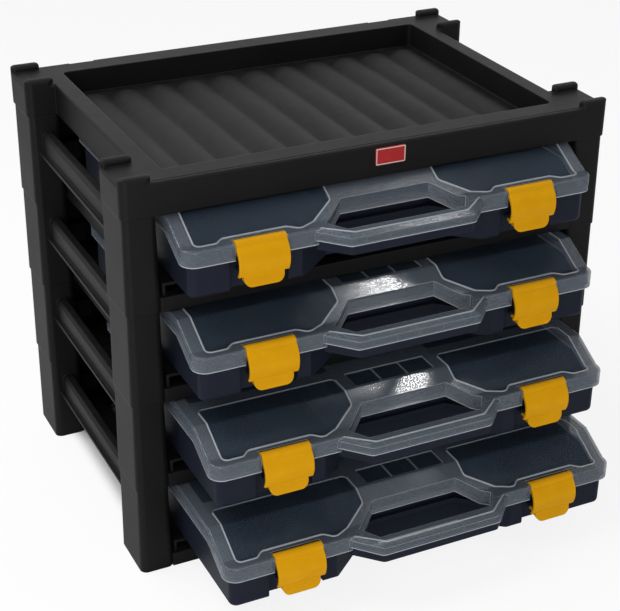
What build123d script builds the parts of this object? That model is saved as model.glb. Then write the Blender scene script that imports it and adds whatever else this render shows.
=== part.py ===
"""A rack of stacked tier frames under a top tray, with flat compartment cases that slide out of it.

Millimetres, +Z up, +X to the right, the front at -Y. The origin is the middle of the
object's footprint, on the surface that it stands on, with the cases pulled out as they rest.
Each case is drawn in its own frame first: Y is measured back from the front edge of its lid,
and Z up from the underside of its base.
"""

import os

from build123d import *

os.makedirs("parts", exist_ok=True)

# Rack: outer size at the posts
rack_width = 447.0
rack_depth = 300.0
tier_count = 4

# Posts of a tier frame
post_width = 28.0
post_depth = 52.0
post_wall = 2.6
post_radius = 5.0
post_flare = 1.2

# Stacking lugs, which plug into the hollow post or cap above
lug_height = 6.0
lug_depth = 9.0
lug_play = 0.5
lug_corner = 4.4
lug_radius = 3.6

# Cross bars and rails of a tier frame
bar_height = 13.0
bar_depth = 12.0
bar_wall = 2.6
rail_inset = 10.0
rail_bottom = 48.0
rail_height = 21.0
rail_wall = 2.8
rail_lip = 3.2
rail_lip_height = 2.4
rail_flange = 9.0

# Sheet that closes the back, between the posts and behind the bars
sheet_thickness = 2.6
sheet_play = 0.3

# Runners that carry a case by the edges of its floor
runner_seat = 16.0
runner_wall = 2.6
runner_side_gap = 6.0
runner_play = 0.25
stop_height = 18.0
stop_thickness = 3.0

# Top tray
cap_height = 28.0
cap_proud = 1.5
cap_width = 27.0
tray_wall = 3.0
tray_front_rim = 24.5
tray_side_rim = 16.0
tray_depth = 22.0
tray_floor = 2.6
tray_corner = 5.0
tray_edge_radius = 2.4
rib_count = 11
rib_height = 5.0
rib_gap = 0.6
rib_end_gap = 10.0
rim_groove_width = 1.2
rim_groove_depth = 0.9
rim_groove_inset = 3.6
notch_width = 24.0
notch_depth = 3.6
notch_height = 5.0
notch_inset = 41.5

# Blank plate on the front skirt of the tray
plate_width = 28.0
plate_height = 15.0
plate_thickness = 1.2
plate_radius = 2.0
plate_offset = 9.0
plate_drop = 3.2

# Cases: how far each lid's front edge stands in front of the rack, top case first
pulls = (40.5, 58.0, 87.0, 112.0)

# Room round a case in its tier: to the foot of a post, from its hinge to the back sheet, and above it
case_side_play = 5.3
case_back_play = 0.5
case_headroom = 1.5

# Case: heights from the underside of the base, and the fold that lowers its front
case_height = 59.0
case_lift = 24.0
fold_start = 14.0
fold_distance = 43.0
fold_drop = 15.7
skirt_height = 14.2
lid_wall = 2.2
lid_flange = 2.0
lid_corner = 12.0
lid_edge_radius = 2.2
base_inset = 5.0
base_wall = 2.2
base_edge_radius = 4.0

# Handle: the lid and the base each carry one half of it
handle_reach = 23.0
handle_latch_gap = 24.0
handle_taper = 0.73
handle_grip_depth = 13.0
handle_lid_lift = 4.2
handle_base_height = 8.0
handle_bevel_run = 4.0
handle_bevel_drop = 2.4
handle_base_inset = 1.5
handle_wall = 2.2
handle_bevel_corner = 1.5
handle_rib_count = 5
handle_rib = 1.2
bay_back = 29.5
bay_back_taper = 0.635
bay_root_inset = 13.0
bay_side = 8.0
bay_front_taper = 0.83
bay_wall = 2.2
tub_bay_back = 36.0
tub_bay_margin = 9.0

# Relief on top of the lid
panel_recess = 0.9
panel_margin = 12.0
panel_front = 7.0
panel_jog = 13.5
panel_jog_gap = 6.0
panel_inner_gap = 8.5
panel_bay_gap = 7.5
panel_split = 66.0
panel_band = 12.0
panel_corner = 5.0
bead_width = 1.0
bead_height = 0.7
window_inset = 2.5
window_gap = 3.0
window_length = 22.0
window_count = 3

# Latches
latch_inset = 64.7
latch_width = 43.5
latch_thickness = 2.4
latch_side_play = 0.6
latch_barrel_radius = 4.2
latch_axis_back = 3.7
latch_axis_drop = 2.3
latch_bulge = 7.0
latch_waist = 4.2
latch_shoulder = 16.0
latch_tab_width = 35.0
latch_tab_radius = 7.0
latch_tab_bottom = 7.2
latch_tab_flare = 6.6
latch_room = 9.6
pin_radius = 1.5
pin_play = 0.08
pin_seat = 1.8

# Catch on the base that the latch hooks under
recess_width = 51.0
recess_depth = 9.0
catch_width = 34.0
catch_reach = 6.0
catch_height = 15.2
catch_thickness = 2.6
hook_play = 0.7
hook_thickness = 2.6
hook_overlap = 2.4
hook_width = 30.0

# Lid hinge at the back of the case
hinge_inset = 74.0
hinge_barrel_radius = 3.8
hinge_play = 0.5
knuckle_length = 14.0
knuckle_gap = 0.5

# Dividers in the base and the slots that hold them
divider_inset = 4.3
divider_thickness = 1.8
divider_drop = 3.0
divider_play = 0.3
slot_rib = 2.0
slot_reach = 3.0

# Places that follow from the sizes above
tier_pitch = case_lift + case_height + case_headroom
tier_stack = tier_count * tier_pitch
tray_top = tier_stack + cap_height
front_reach = max(pulls) + handle_reach
rack_front = (front_reach - rack_depth - cap_proud) / 2
rack_middle = rack_front + rack_depth / 2
lid_width = rack_width - 2 * (post_width + post_flare + case_side_play)
hinge_room = hinge_play + 2 * hinge_barrel_radius + case_back_play
lid_depth = rack_depth + post_flare - sheet_thickness - hinge_room - handle_reach
lid_half = lid_width / 2
front_top = case_height - fold_drop
front_bottom = front_top - skirt_height
back_bottom = case_height - skirt_height
base_half = lid_half - base_inset
base_back = lid_depth - base_inset
handle_lid_bottom = front_bottom + handle_lid_lift
latch_axis_height = front_top - latch_axis_drop
latch_spacing = lid_width - 2 * latch_inset
hinge_spacing = lid_width - 2 * hinge_inset
lid_notch_width = latch_width + 2 * latch_side_play
latch_middles = ((-latch_spacing / 2, 0), (latch_spacing / 2, 0))
handle_root_half_width = (latch_spacing - lid_notch_width) / 2 - handle_latch_gap
handle_half_width = handle_root_half_width * handle_taper
handle_corner = handle_bevel_run + handle_bevel_corner
bay_front = handle_grip_depth - handle_reach
bay_half_width = handle_root_half_width - bay_root_inset
bay_front_half_width = bay_half_width * bay_front_taper
bay_back_half_width = bay_half_width * bay_back_taper
tub_bay_half_width = handle_root_half_width + tub_bay_margin
tub_bay_back_half_width = bay_back_half_width + tub_bay_margin
window_half_width = bay_back_half_width - window_inset
window_front = fold_distance + window_gap
panel_inner = bay_back_half_width + panel_inner_gap
divider_spacing = 2 * (tub_bay_back_half_width - divider_inset)
recess_wall = base_inset + recess_depth
hinge_axis_back = lid_depth + hinge_play + hinge_barrel_radius
hinge_axis_height = back_bottom
far = rack_width + rack_depth + tray_top


def parting_height(distance):
    """Height of the line where lid and base meet, at a distance behind the lid's front edge."""
    share = (fold_distance - distance) / (fold_distance - fold_start)
    return back_bottom - fold_drop * min(1.0, max(0.0, share))


def folded_slab(low, high):
    """A slab that follows the fold of the case, from low to high above the parting line."""
    with BuildPart() as slab:
        with BuildSketch(Plane.YZ):
            with BuildLine():
                Polyline(
                    (0, front_bottom + low),
                    (fold_start, front_bottom + low),
                    (fold_distance, back_bottom + low),
                    (lid_depth, back_bottom + low),
                    (lid_depth, back_bottom + high),
                    (fold_distance, back_bottom + high),
                    (fold_start, front_bottom + high),
                    (0, front_bottom + high),
                    close=True,
                )
            make_face()
        extrude(amount=lid_width, both=True)
    return slab.part


def case_outline(inset):
    """The rounded rectangle of the case in plan, drawn in by an inset."""
    with BuildSketch() as outline:
        with Locations((0, lid_depth / 2)):
            RectangleRounded(
                lid_width - 2 * inset, lid_depth - 2 * inset, max(lid_corner - inset, lid_wall)
            )
    return outline.sketch


def bay_outline(grow):
    """The hexagon of the finger opening in plan, grown by a wall."""
    with BuildSketch() as outline:
        with BuildLine():
            Polyline(
                (-bay_back_half_width, bay_back),
                (-bay_half_width, bay_side),
                (-bay_front_half_width, bay_front),
                (bay_front_half_width, bay_front),
                (bay_half_width, bay_side),
                (bay_back_half_width, bay_back),
                close=True,
            )
        make_face()
        if grow > 0:
            offset(amount=grow, kind=Kind.INTERSECTION)
    return outline.sketch


def tub_bay_outline(grow):
    """The wider bay that the tub leaves behind and below the handle, grown by a wall."""
    with BuildSketch() as outline:
        with BuildLine():
            Polyline(
                (-tub_bay_half_width, -handle_reach),
                (-tub_bay_half_width, base_inset),
                (-tub_bay_back_half_width, tub_bay_back),
                (tub_bay_back_half_width, tub_bay_back),
                (tub_bay_half_width, base_inset),
                (tub_bay_half_width, -handle_reach),
                close=True,
            )
        make_face()
        if grow != 0:
            offset(amount=grow, kind=Kind.INTERSECTION)
    return outline.sketch


def grip_outline(inset):
    """The base's half of the handle with the shelf that joins it to the tub, drawn in by an inset."""
    with BuildSketch() as outline:
        add(tub_bay_outline(-inset))
        with Locations((0, base_inset + inset)):
            Rectangle(far, far, align=(Align.CENTER, Align.MAX), mode=Mode.SUBTRACT)
        add(handle_outline(handle_base_inset + inset, base_inset + 2 * handle_wall))
        add(bay_outline(bay_wall + inset), mode=Mode.SUBTRACT)
    return outline.sketch


def handle_outline(inset, back):
    """The shape that carries the grip in front of the case, drawn in by an inset, up to a back line."""
    with BuildSketch() as outline:
        with BuildLine():
            Polyline(
                (-handle_root_half_width + inset, fold_distance),
                (-handle_root_half_width + inset, 0),
                (-handle_half_width + inset, inset - handle_reach),
                (handle_half_width - inset, inset - handle_reach),
                (handle_root_half_width - inset, 0),
                (handle_root_half_width - inset, fold_distance),
                close=True,
            )
        make_face()
        fillet(outline.vertices().group_by(Axis.Y)[0], handle_corner)
        with Locations((0, back)):
            Rectangle(far, far, align=(Align.CENTER, Align.MIN), mode=Mode.SUBTRACT)
    return outline.sketch


def panel_outline(inset):
    """The two recessed panels on the right of the lid, drawn in by an inset."""
    outer = lid_half - panel_margin
    panel_back = lid_depth - panel_margin
    jog_run = panel_jog - panel_front
    jog_reach = lid_notch_width / 2 + panel_jog_gap + jog_run
    jog_left = latch_spacing / 2 - jog_reach
    jog_right = latch_spacing / 2 + jog_reach
    with BuildSketch() as outline:
        with BuildLine():
            Polyline(
                (handle_root_half_width + panel_front, panel_front),
                (jog_left, panel_front),
                (jog_left + jog_run, panel_jog),
                (jog_right - jog_run, panel_jog),
                (jog_right, panel_front),
                (outer, panel_front),
                (outer, panel_split),
                (panel_inner, panel_split),
                (panel_inner, bay_back),
                (bay_half_width + panel_bay_gap, panel_jog),
                close=True,
            )
            Polyline(
                (outer, panel_split + panel_band),
                (outer, panel_back),
                (panel_inner, panel_back),
                (panel_inner, panel_split + panel_band),
                close=True,
            )
        make_face()
        fillet(outline.vertices(), panel_corner)
        if inset > 0:
            offset(amount=-inset, kind=Kind.INTERSECTION)
    return outline.sketch


# Tier frame: one moulding with hollow posts, side rails, cross bars and runners
post_middle_x = (rack_width - post_width) / 2
post_middle_y = (rack_depth - post_depth) / 2
bar_middle = (rack_depth - bar_depth) / 2 + post_flare
bar_places = ((0, rack_middle - bar_middle), (0, rack_middle + bar_middle - sheet_thickness))
sheet_middle = rack_middle + rack_depth / 2 + post_flare - sheet_thickness / 2
sheet_width = rack_width - 2 * (post_width + post_flare + sheet_play)
rail_outer = rack_width / 2 - rail_inset
rail_top = rail_bottom + rail_height
rail_run = rack_depth - 2 * post_depth + post_wall
runner_outer = base_half + runner_side_gap + runner_wall
runner_inner = base_half - runner_seat
runner_top = case_lift - runner_play
stop_front = rack_front + handle_reach + base_back + runner_play
lug_width = post_width - 2 * post_wall - 2 * lug_play
lug_offset = post_depth / 2 - post_wall - lug_play - lug_depth / 2

# A post widens towards its foot, so that it stands proud of the tier below
with BuildPart() as post:
    with BuildSketch(Plane.XY):
        RectangleRounded(post_width + 2 * post_flare, post_depth + 2 * post_flare, post_radius + post_flare)
    with BuildSketch(Plane.XY.offset(tier_pitch)):
        RectangleRounded(post_width, post_depth, post_radius)
    loft(ruled=True)

with BuildPart() as tier:
    with Locations((0, rack_middle)):
        with GridLocations(2 * post_middle_x, 2 * post_middle_y, 2, 2):
            add(post.part)
    # Cross bars at the front and the back
    with BuildSketch(Plane.XY):
        with Locations(*bar_places):
            Rectangle(rack_width - 2 * post_width, bar_depth)
    extrude(amount=bar_height)
    # Side rails: an upright web with a lip along its foot and a flange along its head
    with BuildSketch(Plane.XZ.offset(-rack_middle)):
        with BuildLine():
            Polyline(
                (rail_outer - rail_wall, rail_bottom),
                (rail_outer + rail_lip, rail_bottom),
                (rail_outer + rail_lip, rail_bottom + rail_lip_height),
                (rail_outer, rail_bottom + rail_lip_height),
                (rail_outer, rail_top - rail_wall),
                (rail_outer - rail_wall, rail_top),
                (rail_outer - rail_flange, rail_top),
                (rail_outer - rail_flange, rail_top - rail_wall),
                (rail_outer - rail_wall, rail_top - rail_wall),
                close=True,
            )
        make_face()
        mirror(about=Plane.YZ)
    extrude(amount=rail_run / 2, both=True)
    # Runners: an upright web from bar to bar, with a ledge under the edge of the case
    with BuildSketch(Plane.XZ.offset(-rack_middle)):
        with BuildLine():
            Polyline(
                (runner_outer, 0),
                (runner_outer, runner_top),
                (runner_inner, runner_top),
                (runner_inner, runner_top - runner_wall),
                (runner_outer - runner_wall, runner_top - runner_wall),
                (runner_outer - runner_wall, 0),
                close=True,
            )
        make_face()
        mirror(about=Plane.YZ)
    extrude(amount=rack_depth / 2 - sheet_thickness, both=True)
    # Stops at the back of the runners, where a case that is pushed home comes to rest
    stop_places = [
        (side * (runner_outer + runner_inner) / 2, stop_front + stop_thickness / 2) for side in (-1, 1)
    ]
    with BuildSketch(Plane.XY.offset(runner_top)):
        with Locations(*stop_places):
            Rectangle(runner_outer - runner_inner, stop_thickness)
    extrude(amount=stop_height)
    # The posts are hollow from below, under a closed head
    with BuildSketch(Plane.XY):
        with Locations((0, rack_middle)):
            with GridLocations(2 * post_middle_x, 2 * post_middle_y, 2, 2):
                RectangleRounded(
                    post_width - 2 * post_wall, post_depth - 2 * post_wall, post_radius - post_wall
                )
    extrude(amount=tier_pitch - post_wall, mode=Mode.SUBTRACT)
    # The cross bars are channels, open from below
    with BuildSketch(Plane.XY):
        with Locations(*bar_places):
            Rectangle(2 * (runner_outer - runner_wall - bar_wall), bar_depth - 2 * bar_wall)
    extrude(amount=bar_height - bar_wall, mode=Mode.SUBTRACT)
    # Two lugs on the head of every post
    with BuildSketch(Plane.XY.offset(tier_pitch)):
        with Locations((0, rack_middle)):
            with GridLocations(2 * post_middle_x, 2 * post_middle_y, 2, 2):
                with Locations((0, -lug_offset), (0, lug_offset)):
                    RectangleRounded(lug_width, lug_depth, post_radius - post_wall)
    extrude(amount=lug_height)

for level in range(tier_count):
    with BuildPart() as tier_frame:
        with Locations((0, 0, (tier_count - 1 - level) * tier_pitch)):
            add(tier.part)
    tier_frame.part.label = f"tier_frame_{level + 1}"
    export_step(tier_frame.part, f"parts/tier_frame_{level + 1}.step")

# Back sheet: one flat panel on the bars of all tiers
with BuildPart() as back_sheet:
    with BuildSketch(Plane.XY):
        with Locations((0, sheet_middle)):
            Rectangle(sheet_width, sheet_thickness)
    extrude(amount=tier_stack)
back_sheet.part.label = "back_sheet"
export_step(back_sheet.part, "parts/back_sheet.step")

# Top tray: a hollow rim round a ribbed recess, with a cap over each corner post
tray_half_depth = rack_depth / 2 + cap_proud
cap_outer = rack_width / 2 + cap_proud
cap_depth = post_depth + cap_proud
body_half = cap_outer - cap_width
recess_half_width = body_half - tray_side_rim
recess_half_depth = tray_half_depth - tray_front_rim
recess_floor = tray_top - tray_depth
cap_middle_x = cap_outer - cap_width / 2
cap_middle_y = tray_half_depth - cap_depth / 2
cap_corner = post_radius + cap_proud
rib_pitch = 2 * (recess_half_width - tray_corner) / rib_count
rib_width = rib_pitch - rib_gap
rib_run = 2 * (recess_half_depth - rib_end_gap)

with BuildPart() as top_tray:
    with BuildSketch(Plane.XY.offset(tier_stack)):
        with Locations((0, rack_middle)):
            Rectangle(2 * body_half, 2 * tray_half_depth)
            with GridLocations(2 * cap_middle_x, 2 * cap_middle_y, 2, 2):
                RectangleRounded(cap_width, cap_depth, cap_corner)
            # Squares close the caps' inner corners, so that the skirts run on straight
            with GridLocations(2 * body_half, 2 * cap_middle_y, 2, 2):
                Rectangle(2 * cap_corner, cap_depth)
    extrude(amount=cap_height)
    # Soft edges along the top of the rim and the caps
    fillet(top_tray.faces().sort_by(Axis.Z)[-1].outer_wire().edges(), tray_edge_radius)
    # The recess that things are laid in
    with BuildSketch(Plane.XY.offset(recess_floor)):
        with Locations((0, rack_middle)):
            RectangleRounded(2 * recess_half_width, 2 * recess_half_depth, tray_corner)
    extrude(amount=far, mode=Mode.SUBTRACT)
    # The rim is hollow from below, between the skirts and the walls of the recess
    with BuildSketch(Plane.XY.offset(tier_stack)):
        with Locations((0, rack_middle)):
            Rectangle(2 * (body_half - tray_wall), 2 * (tray_half_depth - tray_wall))
            RectangleRounded(
                2 * (recess_half_width + tray_wall),
                2 * (recess_half_depth + tray_wall),
                tray_corner + tray_wall,
                mode=Mode.SUBTRACT,
            )
    extrude(amount=cap_height - tray_wall, mode=Mode.SUBTRACT)
    # Under the floor of the recess the moulding is open too
    with BuildSketch(Plane.XY.offset(tier_stack)):
        with Locations((0, rack_middle)):
            RectangleRounded(2 * recess_half_width, 2 * recess_half_depth, tray_corner)
    extrude(amount=cap_height - tray_depth - tray_floor, mode=Mode.SUBTRACT)
    # The caps are hollow like the posts, so that the lugs of the tier below plug into them
    with BuildSketch(Plane.XY.offset(tier_stack)):
        with Locations((0, rack_middle)):
            with GridLocations(2 * post_middle_x, 2 * post_middle_y, 2, 2):
                RectangleRounded(
                    post_width - 2 * post_wall, post_depth - 2 * post_wall, post_radius - post_wall
                )
    extrude(amount=cap_height - tray_wall, mode=Mode.SUBTRACT)
    # A fine groove along the front edge of the rim
    with BuildSketch(Plane.XY.offset(tray_top)):
        with Locations((0, rack_middle - tray_half_depth + rim_groove_inset + rim_groove_width / 2)):
            Rectangle(2 * body_half, rim_groove_width)
    extrude(amount=-rim_groove_depth, mode=Mode.SUBTRACT)
    # Two notches in the back edge of the rim
    with BuildSketch(Plane.XY.offset(tray_top)):
        with Locations((0, rack_middle + tray_half_depth)):
            with GridLocations(2 * (body_half - notch_inset), 1, 2, 1):
                Rectangle(notch_width, 2 * notch_depth)
    extrude(amount=-notch_height, mode=Mode.SUBTRACT)

# Two round lugs on every cap, flush with its faces
with BuildPart() as cap_lugs:
    with BuildSketch(Plane.XY.offset(tray_top - tray_wall)):
        with Locations((0, rack_middle)):
            with GridLocations(2 * cap_middle_x, 2 * cap_middle_y, 2, 2):
                with GridLocations(1, cap_depth - lug_depth, 1, 2):
                    RectangleRounded(cap_width, lug_depth, lug_corner)
    extrude(amount=lug_height + tray_wall)
    fillet(cap_lugs.faces().group_by(Axis.Z)[-1].edges(), lug_radius)
    with BuildSketch(Plane.XY.offset(tray_top - tray_wall)):
        with Locations((0, rack_middle)):
            with GridLocations(2 * cap_middle_x, 2 * cap_middle_y, 2, 2):
                RectangleRounded(cap_width, cap_depth, cap_corner)
    extrude(amount=lug_height + tray_wall, mode=Mode.INTERSECT)

# Arched ribs with round ends on the floor of the recess, from front to back
rib_radius = (rib_width**2 / 4 + rib_height**2) / (2 * rib_height)
rib_reach = (rib_run - rib_width) / 2

with BuildPart() as rib_end:
    with Locations((0, 0, rib_height - rib_radius)):
        Sphere(rib_radius)
    Box(far, far, far, align=(Align.CENTER, Align.MIN, Align.MIN), mode=Mode.INTERSECT)

with BuildPart() as rib:
    with BuildSketch(Plane.XZ):
        with BuildLine():
            ThreePointArc((-rib_width / 2, 0), (0, rib_height), (rib_width / 2, 0))
            Line((rib_width / 2, 0), (-rib_width / 2, 0))
        make_face()
    extrude(amount=rib_reach, both=True)
    with Locations((0, rib_reach, 0)):
        add(rib_end.part)
    with Locations(Location((0, -rib_reach, 0), (0, 0, 180))):
        add(rib_end.part)

with BuildPart() as ribbed_tray:
    add(top_tray.part)
    add(cap_lugs.part)
    with Locations((0, rack_middle, recess_floor)):
        with GridLocations(rib_pitch, 1, rib_count, 1):
            add(rib.part)
ribbed_tray.part.label = "top_tray"
export_step(ribbed_tray.part, "parts/top_tray.step")

# Blank plate on the front skirt
with BuildPart() as name_plate:
    with BuildSketch(Plane.XZ.offset(tray_half_depth - rack_middle)):
        with Locations((plate_offset, tray_top - plate_drop - plate_height / 2)):
            RectangleRounded(plate_width, plate_height, plate_radius)
    extrude(amount=plate_thickness)
    fillet(name_plate.faces().sort_by(Axis.Y)[0].edges(), plate_thickness / 3)
name_plate.part.label = "name_plate"
export_step(name_plate.part, "parts/name_plate.step")

# Lid: a folded translucent shell with a flange that rests on the rim of the base
lid_body = folded_slab(0, skirt_height)
lid_room = folded_slab(lid_flange, skirt_height - lid_wall)
lid_mouth = folded_slab(-lid_flange, 2 * lid_flange)
panel_room = folded_slab(skirt_height - panel_recess, 2 * skirt_height)
bead_room = folded_slab(skirt_height - lid_wall / 2, skirt_height + bead_height)
flange_inset = base_inset + base_wall
window_pitch = 2 * window_half_width / window_count
grip_ceiling = front_top - handle_bevel_drop - handle_wall

with BuildPart() as lid_hollow:
    with BuildSketch(Plane.XY):
        add(case_outline(lid_wall))
        add(bay_outline(bay_wall), mode=Mode.SUBTRACT)
        with Locations(*latch_middles):
            Rectangle(lid_notch_width + 2 * lid_wall, 2 * (latch_room + lid_wall), mode=Mode.SUBTRACT)
    extrude(amount=far)
    add(lid_room, mode=Mode.INTERSECT)

with BuildPart() as lid_opening:
    with BuildSketch(Plane.XY):
        add(case_outline(flange_inset))
        add(tub_bay_outline(base_wall), mode=Mode.SUBTRACT)
        with Locations(*latch_middles):
            Rectangle(recess_width + 2 * base_wall, 2 * (recess_wall + base_wall), mode=Mode.SUBTRACT)
    extrude(amount=far)
    add(lid_mouth, mode=Mode.INTERSECT)

with BuildPart() as lid_panels:
    with BuildSketch(Plane.XY):
        add(panel_outline(bead_width))
        mirror(about=Plane.YZ)
        with Locations((0, window_front + window_length / 2)):
            with GridLocations(window_pitch, 1, window_count, 1):
                Rectangle(window_pitch - handle_rib, window_length)
    extrude(amount=far)
    add(panel_room, mode=Mode.INTERSECT)

with BuildPart() as lid_beads:
    with BuildSketch(Plane.XY):
        add(panel_outline(0))
        add(panel_outline(bead_width), mode=Mode.SUBTRACT)
        mirror(about=Plane.YZ)
        # The band between the panels carries none
        with Locations((0, panel_split + panel_band / 2)):
            Rectangle(lid_width, panel_band + 2 * panel_corner, mode=Mode.SUBTRACT)
    extrude(amount=far)
    add(bead_room, mode=Mode.INTERSECT)

# The lid's half of the handle, with a bevel round the top of the grip
with BuildPart() as lid_handle:
    with BuildSketch(Plane.XY.offset(handle_lid_bottom)):
        add(handle_outline(0, lid_wall))
    extrude(amount=front_top - handle_lid_bottom)
    grip_top = lid_handle.faces().sort_by(Axis.Z)[-1]
    grip_rim = [edge for edge in grip_top.edges() if edge.center().Y < -lid_flange]
    chamfer(grip_rim, length=handle_bevel_run, length2=handle_bevel_drop, reference=grip_top)

with BuildPart() as lid:
    with BuildSketch(Plane.XY):
        add(case_outline(0))
    extrude(amount=far)
    add(lid_body, mode=Mode.INTERSECT)
    # Soft edge round the top, which leaves out the lines of the fold
    lid_top = lid.faces().filter_by(lambda face: face.normal_at().Z > 0.5)
    lid_rim = [
        edge for edge in lid_top.edges()
        if abs(edge.center().X) > lid_half / 2
        or min(abs(edge.center().Y), abs(edge.center().Y - lid_depth)) < lid_flange
    ]
    fillet(lid_rim, lid_edge_radius)
    add(lid_hollow.part, mode=Mode.SUBTRACT)
    add(lid_opening.part, mode=Mode.SUBTRACT)
    add(lid_panels.part, mode=Mode.SUBTRACT)
    add(lid_beads.part)
    # The handle is a channel that is open from below
    add(lid_handle.part)
    with BuildSketch(Plane.XY.offset(handle_lid_bottom)):
        add(handle_outline(handle_wall, 0))
        add(bay_outline(handle_wall), mode=Mode.SUBTRACT)
    extrude(amount=grip_ceiling - handle_lid_bottom, mode=Mode.SUBTRACT)
    # A bead along the front and the flared ends of the handle
    with BuildSketch(Plane.XY.offset(front_top - lid_wall / 2)):
        add(handle_outline(handle_bevel_run + bead_width / 2, 0))
        add(handle_outline(handle_bevel_run + 3 * bead_width / 2, 0), mode=Mode.SUBTRACT)
    extrude(amount=lid_wall / 2 + bead_height)
    # Fine ribs across the channel of the grip
    with BuildSketch(Plane.XY.offset(handle_lid_bottom)):
        with Locations((0, (bay_front - handle_reach) / 2)):
            with GridLocations(2 * bay_front_half_width / handle_rib_count, 1, handle_rib_count, 1):
                Rectangle(handle_rib, handle_grip_depth - handle_wall)
    extrude(amount=grip_ceiling + handle_wall / 2 - handle_lid_bottom)
    # The finger opening and the rooms for the latches go right through
    with BuildSketch(Plane.XY):
        add(bay_outline(0))
        with Locations(*latch_middles):
            Rectangle(lid_notch_width, 2 * latch_room)
    extrude(amount=far, mode=Mode.SUBTRACT)
    # Seats for the latch pins in the cheeks beside each room
    for side in (-1, 1):
        with Locations((side * latch_spacing / 2, latch_axis_back, latch_axis_height)):
            Cylinder(
                pin_radius + pin_play,
                lid_notch_width + 2 * pin_seat,
                rotation=(0, 90, 0),
                mode=Mode.SUBTRACT,
            )
    # The middle knuckle of each back hinge
    for side in (-1, 1):
        with BuildSketch(Plane.YZ.offset(side * hinge_spacing / 2)):
            with Locations((hinge_axis_back, hinge_axis_height)):
                Circle(hinge_barrel_radius)
            with Locations((hinge_axis_back, hinge_axis_height)):
                Rectangle(
                    hinge_axis_back - lid_depth + lid_wall / 2,
                    hinge_barrel_radius,
                    align=(Align.MAX, Align.MIN),
                )
            with Locations((hinge_axis_back, hinge_axis_height)):
                Circle(pin_radius + pin_play, mode=Mode.SUBTRACT)
        extrude(amount=knuckle_length / 2, both=True)

# Base: a folded tub with latch recesses, the lower half of the handle and slots for dividers
above_parting = folded_slab(0, case_height)
divider_half = divider_thickness / 2
divider_front = tub_bay_back + base_wall
divider_back = lid_depth - flange_inset
slot_middle = divider_half + divider_play + slot_rib / 2
slot_places = [
    (side * divider_spacing / 2 + step * slot_middle, end)
    for side in (-1, 1)
    for step in (-1, 1)
    for end in (divider_front + slot_reach / 2, divider_back - slot_reach / 2)
]
divider_top = parting_height(divider_front) - divider_drop
grip_bottom = handle_lid_bottom - handle_base_height

with BuildPart() as base_hollow:
    with BuildSketch(Plane.XY.offset(base_wall)):
        add(case_outline(flange_inset))
        add(tub_bay_outline(base_wall), mode=Mode.SUBTRACT)
        with Locations(*latch_middles):
            Rectangle(recess_width + 2 * base_wall, 2 * (recess_wall + base_wall), mode=Mode.SUBTRACT)
    extrude(amount=far)

with BuildPart() as base:
    with BuildSketch(Plane.XY):
        add(case_outline(base_inset))
    extrude(amount=case_height)
    fillet(base.faces().sort_by(Axis.Z)[0].edges(), base_edge_radius)
    add(above_parting, mode=Mode.SUBTRACT)
    # The tub stands back behind the handle, and its inside follows its walls
    with BuildSketch(Plane.XY):
        add(tub_bay_outline(0))
    extrude(amount=far, mode=Mode.SUBTRACT)
    add(base_hollow.part, mode=Mode.SUBTRACT)
    # The lower half of the handle hangs on a shelf in front of the tub and meets the lid's half
    with BuildSketch(Plane.XY.offset(grip_bottom)):
        add(grip_outline(0))
    extrude(amount=front_bottom - grip_bottom)
    with BuildSketch(Plane.XY.offset(front_bottom)):
        add(handle_outline(handle_base_inset, -handle_base_inset))
        add(bay_outline(bay_wall), mode=Mode.SUBTRACT)
    extrude(amount=handle_lid_lift)
    with BuildSketch(Plane.XY.offset(grip_bottom + handle_wall)):
        add(grip_outline(handle_wall))
    extrude(amount=far, mode=Mode.SUBTRACT)
    # The recesses behind the latches
    with BuildSketch(Plane.XY):
        with Locations(*latch_middles):
            Rectangle(recess_width, 2 * recess_wall)
    extrude(amount=far, mode=Mode.SUBTRACT)
    # The catches that the latches hook under
    with BuildSketch(Plane.XY.offset(catch_height)):
        with Locations(*latch_middles):
            with Locations((0, recess_wall)):
                Rectangle(catch_width, 2 * catch_reach)
        with Locations((0, recess_wall + base_wall + far / 2)):
            Rectangle(far, far, mode=Mode.SUBTRACT)
    extrude(amount=catch_thickness)
    # Pairs of ribs on the end walls that hold the dividers
    with BuildSketch(Plane.XY):
        with Locations(*slot_places):
            Rectangle(slot_rib, slot_reach)
    extrude(amount=divider_top)
    # The outer knuckles of each back hinge
    for side in (-1, 1):
        for step in (-1, 1):
            knuckle_middle = side * hinge_spacing / 2 + step * (knuckle_length + knuckle_gap)
            with BuildSketch(Plane.YZ.offset(knuckle_middle)):
                with Locations((hinge_axis_back, hinge_axis_height)):
                    Circle(hinge_barrel_radius)
                with Locations((hinge_axis_back, hinge_axis_height - hinge_play)):
                    Rectangle(
                        hinge_axis_back - base_back + base_wall / 2,
                        hinge_barrel_radius - hinge_play,
                        align=(Align.MAX, Align.MAX),
                    )
                with Locations((hinge_axis_back, hinge_axis_height)):
                    Circle(pin_radius + pin_play, mode=Mode.SUBTRACT)
            extrude(amount=knuckle_length / 2, both=True)

# Latch: a bowed plate that turns on its barrel, with a hook inside and a tab at its foot
hook_top = catch_height - hook_play
hook_tip = recess_wall - catch_reach + hook_overlap
plate_root = latch_axis_back - latch_barrel_radius
bulge_height = (latch_axis_height + latch_shoulder) / 2

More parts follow.
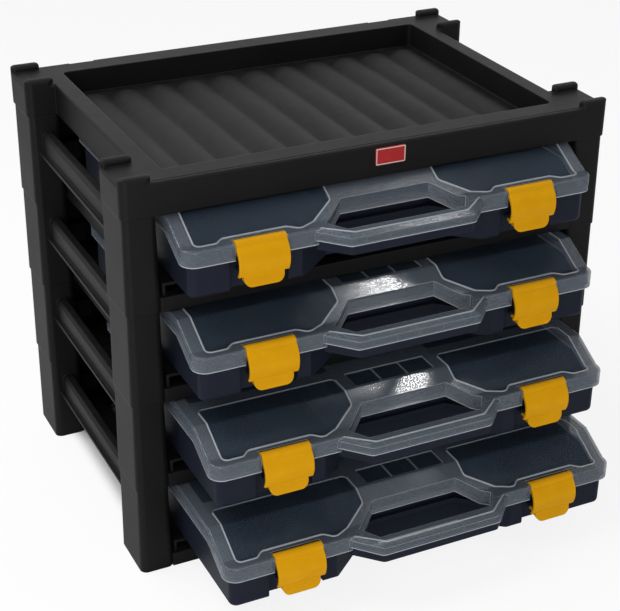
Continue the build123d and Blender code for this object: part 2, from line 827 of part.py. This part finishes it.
with BuildPart() as latch:
    with BuildSketch(Plane.YZ):
        with BuildLine():
            ThreePointArc(
                (plate_root, latch_axis_height), (-latch_bulge, bulge_height), (-latch_waist, latch_shoulder)
            )
            Polyline(
                (-latch_waist, latch_shoulder),
                (-latch_tab_flare, latch_tab_bottom),
                (latch_thickness - latch_tab_flare, latch_tab_bottom),
                (latch_thickness - latch_waist, latch_shoulder),
            )
            ThreePointArc(
                (latch_thickness - latch_waist, latch_shoulder),
                (latch_thickness - latch_bulge, bulge_height),
                (latch_axis_back, latch_axis_height - latch_barrel_radius / 2),
            )
            Line((latch_axis_back, latch_axis_height - latch_barrel_radius / 2), (plate_root, latch_axis_height))
        make_face()
        with Locations((latch_axis_back, latch_axis_height)):
            Circle(latch_barrel_radius)
        with Locations((latch_thickness / 2 - latch_waist, hook_top)):
            Rectangle(
                hook_tip + latch_waist - latch_thickness / 2, hook_thickness, align=(Align.MIN, Align.MAX)
            )
        with Locations((latch_axis_back, latch_axis_height)):
            Circle(pin_radius + pin_play, mode=Mode.SUBTRACT)
    extrude(amount=latch_width / 2, both=True)
    # The tab at the foot is narrower, with round corners
    with BuildSketch(Plane.XZ):
        with Locations((0, latch_shoulder)):
            Rectangle(latch_width, case_height, align=(Align.CENTER, Align.MIN))
        with Locations((0, latch_tab_bottom)):
            RectangleRounded(
                latch_tab_width,
                2 * latch_shoulder,
                latch_tab_radius,
                align=(Align.CENTER, Align.MIN),
            )
    extrude(amount=lid_depth, both=True, mode=Mode.INTERSECT)
    # The hook is no wider than the catch
    with BuildSketch(Plane.XZ):
        with Locations((0, hook_top - hook_thickness / 2)):
            Rectangle(2 * latch_width, 2 * latch_shoulder)
            Rectangle(hook_width, 2 * latch_shoulder, mode=Mode.SUBTRACT)
    extrude(amount=-lid_depth, mode=Mode.SUBTRACT)

# Pins and dividers
with BuildPart() as latch_pin:
    with BuildSketch(Plane.YZ):
        with Locations((latch_axis_back, latch_axis_height)):
            Circle(pin_radius)
    extrude(amount=lid_notch_width / 2 + pin_seat - latch_side_play / 2, both=True)

with BuildPart() as hinge_pin:
    with BuildSketch(Plane.YZ):
        with Locations((hinge_axis_back, hinge_axis_height)):
            Circle(pin_radius)
    extrude(amount=1.5 * knuckle_length + knuckle_gap, both=True)

with BuildPart() as divider:
    with BuildSketch(Plane.YZ):
        with Locations((divider_front + divider_play, base_wall)):
            Rectangle(
                divider_back - divider_front - 2 * divider_play,
                divider_top - base_wall,
                align=(Align.MIN, Align.MIN),
            )
    extrude(amount=divider_half, both=True)

# Each case in its place, pulled out of its tier as far as it rests
for level in range(tier_count):
    case_front = rack_front - pulls[level]
    case_floor = (tier_count - 1 - level) * tier_pitch + case_lift
    placed = [("case_base", base, 0.0), ("case_lid", lid, 0.0)]
    for hand, side in (("left", -1), ("right", 1)):
        placed.append((f"latch_{hand}", latch, side * latch_spacing / 2))
        placed.append((f"latch_pin_{hand}", latch_pin, side * latch_spacing / 2))
        placed.append((f"hinge_pin_{hand}", hinge_pin, side * hinge_spacing / 2))
        placed.append((f"divider_{hand}", divider, side * divider_spacing / 2))
    for name, form, across in placed:
        with BuildPart() as piece:
            with Locations((across, case_front, case_floor)):
                add(form.part)
        piece.part.label = f"{name}_{level + 1}"
        export_step(piece.part, f"parts/{name}_{level + 1}.step")
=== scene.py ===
# %% [markdown]
# # A rack of compartment cases
# Four flat cases with clear lids and yellow latches slide into a black rack with a tray on top.
# The solids already have their true shape and place, so this lesson gives every surface its
# finish and then sets up the floor, the light and the camera.

# %% Load the frame
import math

import bpy
from mathutils import Matrix, Vector


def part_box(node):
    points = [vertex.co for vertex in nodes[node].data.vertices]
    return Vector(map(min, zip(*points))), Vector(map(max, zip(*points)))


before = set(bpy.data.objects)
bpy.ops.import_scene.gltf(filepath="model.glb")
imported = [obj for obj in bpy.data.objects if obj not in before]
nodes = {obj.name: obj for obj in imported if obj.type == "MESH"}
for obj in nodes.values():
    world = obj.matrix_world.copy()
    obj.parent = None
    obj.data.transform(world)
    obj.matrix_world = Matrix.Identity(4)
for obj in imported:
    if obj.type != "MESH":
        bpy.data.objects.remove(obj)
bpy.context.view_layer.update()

# %% [markdown]
# ## Shader sums as plain expressions
# A finish is easier to read as a formula than as a web of nodes. The class below wraps one
# output of a node, so that adding or multiplying two wires adds the Math node between them.
# Every other kind of node comes from one method, which sets the node's own settings first.

# %% A wire between nodes
class Wire:
    """One output of a node, with arithmetic that adds Math nodes to its material."""

    def __init__(self, tree, socket=None):
        self.tree = tree
        self.socket = socket

    def node(self, kind, settings, inputs, output=0):
        """Add a node of any other kind, with its sockets given by name or number."""
        made = self.tree.nodes.new(kind)
        for name, value in settings.items():
            setattr(made, name, value)
        for name, value in inputs.items():
            self.plug(value, made.inputs[name])
        return Wire(self.tree, made.outputs[output])

    def plug(self, value, target):
        """Link a wire to a socket, or write a plain value on it."""
        if isinstance(value, Wire):
            self.tree.links.new(value.socket, target)
        else:
            target.default_value = value

    def math(self, operation, *values):
        """Add a Math node that works on the given values."""
        return self.node("ShaderNodeMath", {"operation": operation}, dict(enumerate(values)))

    def __add__(self, other):
        return self.math("ADD", self, other)

    def __sub__(self, other):
        return self.math("SUBTRACT", self, other)

    def __rsub__(self, other):
        return self.math("SUBTRACT", other, self)

    def __mul__(self, other):
        return self.math("MULTIPLY", self, other)

    def __abs__(self):
        return self.math("ABSOLUTE", self)

    __radd__ = __add__
    __rmul__ = __mul__

    def at_least(self, other):
        return self.math("MAXIMUM", self, other)

    def at_most(self, other):
        return self.math("MINIMUM", self, other)

    def rise(self, low, high):
        """0 below low and 1 above high, with a smooth step between them."""
        settings = {"interpolation_type": "SMOOTHSTEP"}
        return self.node("ShaderNodeMapRange", settings, {0: self, 1: low, 2: high, 3: 0.0, 4: 1.0})

    def between(self, low, high, soft):
        """1 between low and high, falling to 0 outside them over a soft edge."""
        return self.rise(low - soft, low + soft) * (1 - self.rise(high - soft, high + soft))

    def tint(self, first, second):
        """A colour that goes from first to second as the wire goes from 0 to 1."""
        return self.node("ShaderNodeMix", {"data_type": "RGBA"}, {0: self, 6: first, 7: second}, 2)


print("wires add, subtract and multiply")

# %% [markdown]
# ## Places on the surface
# Every finish reads Object coordinates, which stay with a piece when it slides or swings. The
# numbers that describe plastic are millimetres, so the coordinates are turned into those first.

# %% A blank finish to start from
mm_per_metre = 1000.0
edge_samples = 10
sharp_turn = 0.12


def blank_finish(name):
    """A new material: the material, its shader, and the place on the surface in millimetres."""
    material = bpy.data.materials.new(name)
    material.use_nodes = True
    tree = material.node_tree
    start = Wire(tree)
    metres = start.node("ShaderNodeTexCoord", {}, {}, "Object")
    inputs = {0: metres, "Scale": mm_per_metre}
    place = start.node("ShaderNodeVectorMath", {"operation": "SCALE"}, inputs)
    return material, tree.nodes["Principled BSDF"], place


def box_in_mm(node):
    """The low and high corner of a node's box, in millimetres."""
    low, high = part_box(node)
    return mm_per_metre * low, mm_per_metre * high


def set_shader(shader, place, **values):
    """Write values, or plug wires, into the shader's sockets, named with underscores."""
    for name, value in values.items():
        place.plug(value, shader.inputs[name.replace("_", " ")])


def noise(place, size, detail=2.0):
    """Soft blotches of about the given size in millimetres, from 0 to 1."""
    inputs = {"Vector": place, "Scale": 1.0 / size, "Detail": detail}
    return place.node("ShaderNodeTexNoise", {}, inputs)


def rounded_edges(place, radius):
    """The surface's direction with its sharp edges softened over a radius in millimetres."""
    return place.node("ShaderNodeBevel", {"samples": edge_samples}, {"Radius": radius / mm_per_metre})


def plain_direction(place):
    """The surface's direction with nothing softened."""
    return place.node("ShaderNodeNewGeometry", {}, {}, "Normal")


def edge_mask(place, softened):
    """About 1 along the sharp edges of a piece and 0 on its flats."""
    inputs = {0: softened, 1: plain_direction(place)}
    facing = place.node("ShaderNodeVectorMath", {"operation": "DOT_PRODUCT"}, inputs, 1)
    return (1 - facing).rise(0.0, sharp_turn)


def bumped(place, height, depth, normal):
    """The surface's direction after a relief of the given depth in millimetres."""
    inputs = {"Height": height, "Distance": depth / mm_per_metre, "Normal": normal}
    return place.node("ShaderNodeBump", {}, inputs)


def axes(place):
    """The x, y and z of a place, as three wires."""
    split = place.node("ShaderNodeSeparateXYZ", {}, {0: place}).socket.node
    return [Wire(place.tree, out) for out in split.outputs]


print("blank finishes ready")

# %% [markdown]
# ## Black moulded plastic
# The tiers, the back sheet and the tray are black polypropylene from a textured mould: nearly
# matt, with a fine grain, slow clouds of gloss where the melt cooled unevenly, edges polished by
# handling and a little dust where a surface looks up. The edges are also painted a shade lighter,
# partly as wear and partly as a painted sheen. The dust reads the direction of the surface, so it
# would settle rightly on any shape.

# %% The rack's finish
def black_plastic():
    """Matt black with grain, clouds of gloss, dust, and edges painted lighter as wear and painted
    sheen.
    """
    clean_black = (0.0035, 0.0035, 0.0036, 1)
    dust_and_sheen_black = (0.0110, 0.0110, 0.0105, 1)
    material, shader, place = blank_finish("rack_black")
    grain = noise(place, size=0.55, detail=3.0)
    clouds = noise(place, size=60.0, detail=3.0)
    softened = rounded_edges(place, radius=1.4)
    edges = edge_mask(place, softened)
    up = axes(plain_direction(place))[2]
    dust = up.rise(0.6, 1.0) * noise(place, size=9.0, detail=4.0).rise(0.35, 0.75)
    # The edges add a lighter colour here: partly wear, partly a painted sheen.
    tone = (0.4 * clouds + 0.25 * edges + 0.45 * dust).rise(0.0, 1.0)
    set_shader(
        shader,
        place,
        Base_Color=tone.tint(clean_black, dust_and_sheen_black),
        Roughness=0.42 + 0.10 * clouds + 0.06 * grain - 0.10 * edges,
        Specular_IOR_Level=0.12,
        Normal=bumped(place, grain, depth=0.03, normal=softened),
    )
    return material


rack_finish = black_plastic()
print("finish", rack_finish.name)

# %% [markdown]
# ## Dark blue tubs
# The lower half of each case, its dividers and the lower half of its handle are a deep navy
# plastic, smoother than the rack. Its colour drifts slowly and is a shade lighter at the edges.

# %% The tubs' finish
def navy_plastic():
    """Deep blue with slow clouds and lighter edges."""
    deep_navy = (0.0100, 0.0125, 0.0215, 1)
    light_navy = (0.0165, 0.0195, 0.0310, 1)
    material, shader, place = blank_finish("case_navy")
    clouds = noise(place, size=35.0, detail=3.0)
    grain = noise(place, size=0.4)
    softened = rounded_edges(place, radius=0.9)
    edges = edge_mask(place, softened)
    tone = (0.5 * clouds + 0.5 * edges).rise(0.1, 0.9)
    set_shader(
        shader,
        place,
        Base_Color=tone.tint(deep_navy, light_navy),
        Roughness=0.32 + 0.14 * clouds,
        Specular_IOR_Level=0.06,
        Normal=bumped(place, grain, depth=0.02, normal=softened),
    )
    return material


tub_finish = navy_plastic()
print("finish", tub_finish.name)

# %% [markdown]
# ## Yellow latches
# The latches are solid yellow plastic with a satin face. Their colour drifts a little, the edges
# are paler where they are rubbed, and faint waves across the face come from the mould.

# %% The latches' finish
def yellow_plastic():
    """Satin yellow with faint waves from the mould, one in about 10 mm."""
    deep_yellow = (0.55, 0.262, 0.0008, 1)
    pale_yellow = (0.68, 0.340, 0.0016, 1)
    material, shader, place = blank_finish("latch_yellow")
    height = axes(place)[2]
    drift = noise(place, size=14.0, detail=3.0)
    phase = height * 0.6 + 1.5 * drift
    wave = phase.math("SINE", phase)
    grain = noise(place, size=0.35)
    softened = rounded_edges(place, radius=0.7)
    edges = edge_mask(place, softened)
    tone = (0.55 * drift + 0.05 * wave + 0.4 * edges).rise(0.1, 0.9)
    set_shader(
        shader,
        place,
        Base_Color=tone.tint(deep_yellow, pale_yellow),
        Roughness=0.40 + 0.10 * drift + 0.04 * grain,
        Specular_IOR_Level=0.08,
        Normal=bumped(place, wave + 0.3 * grain, depth=0.01, normal=softened),
    )
    return material


latch_finish = yellow_plastic()
print("finish", latch_finish.name)

# %% [markdown]
# ## Steel pins
# The pins are drawn steel wire, with fine rings from drawing along their length.

# %% The pins' finish
def pin_steel():
    """Bright steel with fine rings."""
    dark_steel = (0.38, 0.38, 0.39, 1)
    bright_steel = (0.58, 0.58, 0.58, 1)
    rings_per_mm = 3.0
    material, shader, place = blank_finish("pin_steel")
    along = axes(place)[0]
    inputs = {"W": along * rings_per_mm, "Detail": 3.0}
    rings = place.node("ShaderNodeTexNoise", {"noise_dimensions": "1D"}, inputs)
    set_shader(
        shader,
        place,
        Base_Color=rings.tint(dark_steel, bright_steel),
        Roughness=0.24 + 0.14 * rings,
        Metallic=1.0,
    )
    return material


pin_finish = pin_steel()
print("finish", pin_finish.name)

# %% [markdown]
# ## The plate on the tray
# The small plate is plain red enamel with a pale line round its edge. The line is worked out from
# the plate's own box.

# %% The plate's finish
def red_enamel(node):
    """Red with a pale line that keeps to the outline of the node."""
    deep_red = (0.30, 0.012, 0.014, 1)
    bright_red = (0.40, 0.022, 0.022, 1)
    pale_line = (0.55, 0.50, 0.48, 1)
    line_start, line_end, line_soft = 0.5, 1.3, 0.12
    material, shader, place = blank_finish("plate_red")
    low, high = box_in_mm(node)
    middle, half = (low + high) / 2, (high - low) / 2
    x, _, z = axes(place)
    side_gap = half.x - abs(x - middle.x)
    top_gap = half.z - abs(z - middle.z)
    border = side_gap.at_most(top_gap).between(line_start, line_end, line_soft)
    drift = noise(place, size=6.0, detail=3.0)
    set_shader(
        shader,
        place,
        Base_Color=border.tint(drift.tint(deep_red, bright_red), pale_line),
        Roughness=0.28 + 0.12 * drift,
        Specular_IOR_Level=0.12,
        Coat_Weight=0.1,
        Normal=rounded_edges(place, radius=0.4),
    )
    return material


plate_finish = red_enamel("name_plate")
print("finish", plate_finish.name)

# %% [markdown]
# ## Clear lids
# A lid is one piece of smoke-clear plastic. Its panels and the window in the middle are polished,
# so the dark tub shows through, while the borders, skirts and handle are frosted and look paler.
# The beads, the lower edge of the skirt and the sharp edges are painted pale and more opaque: a
# painted glow that stands in for light leaving the sheet at its edges. One formula draws all of this
# from the lid's own plan, measured from the front edge and the parting line of each case. The front
# panels are also sunk into the lid. The rear ones lie flush with it and differ from it only in their
# polish.

# %% The plan of a lid, in millimetres
handle_reach = 23.0
handle_lift = 4.2
fold_start = 14.0
fold_end = 43.0
fold_drop = 15.7
back_parting = 44.8
skirt_height = 14.2
panel_recess = 0.9
panel_inner = 49.0
panel_outer = 178.0
panel_front = 6.0
panel_back = 256.0
rear_start = 78.0
slant = 0.70
slant_start = 28.0
window_half = 38.8
window_front = 45.0
window_back = 69.0
edge_line = 1.1
line_soft = 0.3

print("panels reach", panel_back - panel_front, "mm from front to back")

# %% Where a lid is polished and where its glow is painted
def lid_masks(place, lid, tub):
    """Where a lid is polished, where its edges get a painted glow, and where its grip is."""
    front = box_in_mm(lid)[0].y + handle_reach
    floor = box_in_mm(tub)[0].z
    x, y, z = axes(place)
    behind = y - front
    across = abs(x)
    fold = (fold_end - behind) * (fold_drop / (fold_end - fold_start))
    above = z - floor - back_parting + fold.at_least(0.0).at_most(fold_drop)

    # Panels with a slanted inner corner, and the window between them
    panel = across.between(panel_inner, panel_outer, line_soft)
    panel = panel * behind.between(panel_front, panel_back, line_soft)
    slanted_front = (across - panel_inner) * slant + behind
    panel = panel * slanted_front.rise(slant_start - 0.5, slant_start + 0.5)
    window = 1 - across.rise(window_half, window_half + 2 * line_soft)
    window = window * behind.between(window_front, window_back, line_soft)
    sunk = 1 - above.rise(skirt_height - 0.6 * panel_recess, skirt_height - 0.4 * panel_recess)
    rear = behind.rise(rear_start - line_soft, rear_start + line_soft)
    polished = (panel + window) * sunk.at_least(rear)

    # Beads stand above the top; the lower edge follows the parting line and the grip
    bead = above.rise(skirt_height + 0.1, skirt_height + 0.4)
    grip = 1 - behind.rise(-1.5, -0.5)
    low_gap = above - handle_lift * grip
    lower_edge = 1 - low_gap.rise(0.4 * edge_line, edge_line)
    return polished, bead, lower_edge, grip


print("masks follow", edge_line, "mm of the lower edge")

# %% The lids' finishes, one for each case
def smoke_clear(number):
    """Clear panels, frosted borders and a painted glow on the edges for the lid of one case."""
    frosted_grey = (0.104, 0.124, 0.152, 1)
    polished_blue = (0.075, 0.108, 0.156, 1)
    painted_glow_grey = (0.46, 0.49, 0.53, 1)
    material, shader, place = blank_finish(f"lid_clear_{number}")
    masks = lid_masks(place, f"case_lid_{number}", f"case_base_{number}")
    polished, bead, lower_edge, grip = masks
    haze = noise(place, size=22.0, detail=3.0)
    grain = noise(place, size=0.6)
    speckle = noise(place, size=1.4, detail=1.0).rise(0.38, 0.56)
    softened = rounded_edges(place, radius=0.8)
    edges = edge_mask(place, softened)
    # Painted glow: beads, the frosted lower skirt edge and sharp edges are painted pale grey and made
    # more opaque.
    painted_glow = (0.7 * bead + 0.8 * lower_edge * (1 - polished) + 0.9 * edges).rise(0.0, 1.0)
    body = polished.tint(frosted_grey, polished_blue)
    opacity = 0.54 - 0.39 * polished + 0.06 * haze + 0.26 * painted_glow
    gloss = (0.15 + 0.75 * speckle) * (1 - polished) * (1 - 0.7 * grip) + 0.35 * polished
    set_shader(
        shader,
        place,
        Base_Color=painted_glow.tint(body, painted_glow_grey),
        Roughness=0.34 - 0.20 * polished + 0.06 * haze,
        Specular_IOR_Level=0.05,
        Coat_Weight=gloss,
        Coat_Roughness=0.12,
        Alpha=opacity,
        Normal=bumped(place, grain * (1 - polished), depth=0.002, normal=softened),
    )
    return material


case_count = sum(name.startswith("case_lid") for name in nodes)
lid_finishes = {number: smoke_clear(number) for number in range(1, 1 + case_count)}
print("finishes", [material.name for material in lid_finishes.values()])

# %% [markdown]
# ## Give each piece its finish
# The start of a node's name says what it is, so one table of beginnings is enough for most of
# them. A lid's name ends with the number of its case.

# %% Assign the finishes
finishes = {
    "top_tray": rack_finish,
    "tier_frame": rack_finish,
    "back_sheet": rack_finish,
    "name_plate": plate_finish,
    "case_base": tub_finish,
    "divider": tub_finish,
    "latch_pin": pin_finish,
    "hinge_pin": pin_finish,
    "latch_left": latch_finish,
    "latch_right": latch_finish,
}
for name, piece in nodes.items():
    if name.startswith("case_lid"):
        finish = lid_finishes[int(name[-1])]
    else:
        finish = next(material for start, material in finishes.items() if name.startswith(start))
    piece.data.materials.clear()
    piece.data.materials.append(finish)
print("finished", len(nodes), "nodes")

# %% [markdown]
# ## Floor and white surroundings
# The object stands on a white floor. A ray from the camera sees plain white there, with a share
# of the real floor mixed in so that the object's shadow stays, and all other rays see the floor.
# Deep under the rack the floor keeps its full shadow, so no light gap shows through the tiers.

# %% Floor
floor_size = 9.0
floor_tones = (0.92, 0.92, 0.92, 1), (0.96, 0.96, 0.96, 1)
shadow_share = 0.15
rack_margin = 20.0
rack_softness = 8.0
bpy.ops.mesh.primitive_plane_add(size=floor_size, location=(0, 0, 0))
floor = bpy.context.object
floor.name = "floor"
floor_material, floor_shader, floor_place = blank_finish("floor_white")
set_shader(
    floor_shader,
    floor_place,
    Base_Color=noise(floor_place, size=400.0).tint(*floor_tones),
    Roughness=0.9,
)
rack_low, rack_high = box_in_mm("tier_frame_4")
floor_x, floor_y, _ = axes(floor_place)
under_rack = abs(floor_x).between(-rack_high.x, rack_high.x - rack_margin, rack_softness)
under_rack = under_rack * floor_y.between(rack_low.y + rack_margin, rack_high.y, rack_softness)
shadow = shadow_share + (1 - shadow_share) * under_rack
ray = floor_place.node("ShaderNodeLightPath", {}, {}, "Is Camera Ray")
white = floor_place.node("ShaderNodeEmission", {}, {"Color": (1, 1, 1, 1), "Strength": 1.0})
lit = Wire(floor_material.node_tree, floor_shader.outputs[0])
seen = floor_place.node("ShaderNodeMixShader", {}, {0: ray * (1 - shadow), 1: lit, 2: white})
floor_place.plug(seen, floor_material.node_tree.nodes["Material Output"].inputs["Surface"])
floor.data.materials.append(floor_material)
print("floor", floor_size, "m wide")

# %% World
ambient = 0.45
world = bpy.data.worlds.new("surroundings")
world.use_nodes = True
bpy.context.scene.world = world
sky = Wire(world.node_tree)
rays = sky.node("ShaderNodeLightPath", {}, {}).socket.node.outputs
shown = Wire(sky.tree, rays["Is Camera Ray"])
for kind in ("Is Glossy Ray", "Is Transmission Ray"):
    shown = shown.at_least(Wire(sky.tree, rays[kind]))
backdrop = world.node_tree.nodes["Background"]
backdrop.inputs["Color"].default_value = (1, 1, 1, 1)
sky.plug(ambient + (1 - ambient) * shown, backdrop.inputs["Strength"])
print("surroundings light the rack with a strength of", ambient)

# %% [markdown]
# ## Light
# A wide soft box hangs above the rack, a little to the left, and gives the tray its grey sheen. A
# second one stands low in front and to the left, and lifts the latches and the lids.

# %% Soft boxes
def soft_box(name, place, aim, size, power):
    """A rectangular lamp at a place, in metres, that shines at another."""
    light = bpy.data.lights.new(name, "AREA")
    light.shape = "RECTANGLE"
    light.size, light.size_y = size
    light.energy = power
    lamp = bpy.data.objects.new(name, light)
    lamp.location = place
    lamp.rotation_euler = (Vector(aim) - Vector(place)).to_track_quat("-Z", "Y").to_euler()
    bpy.context.scene.collection.objects.link(lamp)
    return lamp


soft_box("top_box", place=(-0.75, 0.25, 1.60), aim=(0, 0, 0.3), size=(1.1, 1.1), power=17.0)
soft_box("front_box", place=(-0.75, -1.45, 0.45), aim=(0, -0.15, 0.1), size=(0.9, 0.6), power=11.0)
print("two soft boxes")

# %% [markdown]
# A narrow lamp high up on the right is seen only in gloss. The slopes of the two middle lids mirror
# it through the finger opening of the case above, which gives the white glare behind their handles.

# %% Lamp for the glare
glare_place = (0.76, -0.085, 1.75)
glare_foot = (0.76, -0.085, 0)
glare_turn = math.radians(24)
glare_lamp = soft_box("glare_lamp", glare_place, glare_foot, size=(0.11, 0.24), power=5.0)
glare_lamp.rotation_euler = (0, 0, glare_turn)
glare_lamp.visible_diffuse = False
print("glare lamp", glare_place[2], "m up")

# %% [markdown]
# ## Camera
# The picture was taken from the left and above with a long lens. The values below place the
# camera so that the corners of the rack, the lids and the latches fall where the picture has
# them, and the shift of the lens puts the object a little above the middle.

# %% Camera
image_width = 620
focal_pixels = 1503.4
centre_shift = (-1.1, 66.0)
azimuth = math.radians(-25.94)
elevation = math.radians(29.91)
roll = math.radians(0.53)
camera_place = Vector((-0.55573, -1.10063, 0.81654))

level = Vector((math.cos(azimuth), math.sin(azimuth), 0))
outward = Vector((math.sin(azimuth), -math.cos(azimuth), 0))
back = math.cos(elevation) * outward + Vector((0, 0, math.sin(elevation)))
upright = back.cross(level)
right = math.cos(roll) * level + math.sin(roll) * upright
up = math.cos(roll) * upright - math.sin(roll) * level
turn = Matrix((right, up, back)).transposed().to_4x4()

lens = bpy.data.cameras.new("camera")
lens.sensor_fit = "HORIZONTAL"
lens.sensor_width = 36.0
lens.lens = focal_pixels * lens.sensor_width / image_width
lens.shift_x = centre_shift[0] / image_width
lens.shift_y = centre_shift[1] / image_width
camera = bpy.data.objects.new("camera", lens)
camera.matrix_world = Matrix.Translation(camera_place) @ turn
bpy.context.scene.collection.objects.link(camera)
bpy.context.scene.camera = camera
bpy.context.scene.view_settings.view_transform = "Standard"
print("lens", round(lens.lens, 1), "mm")
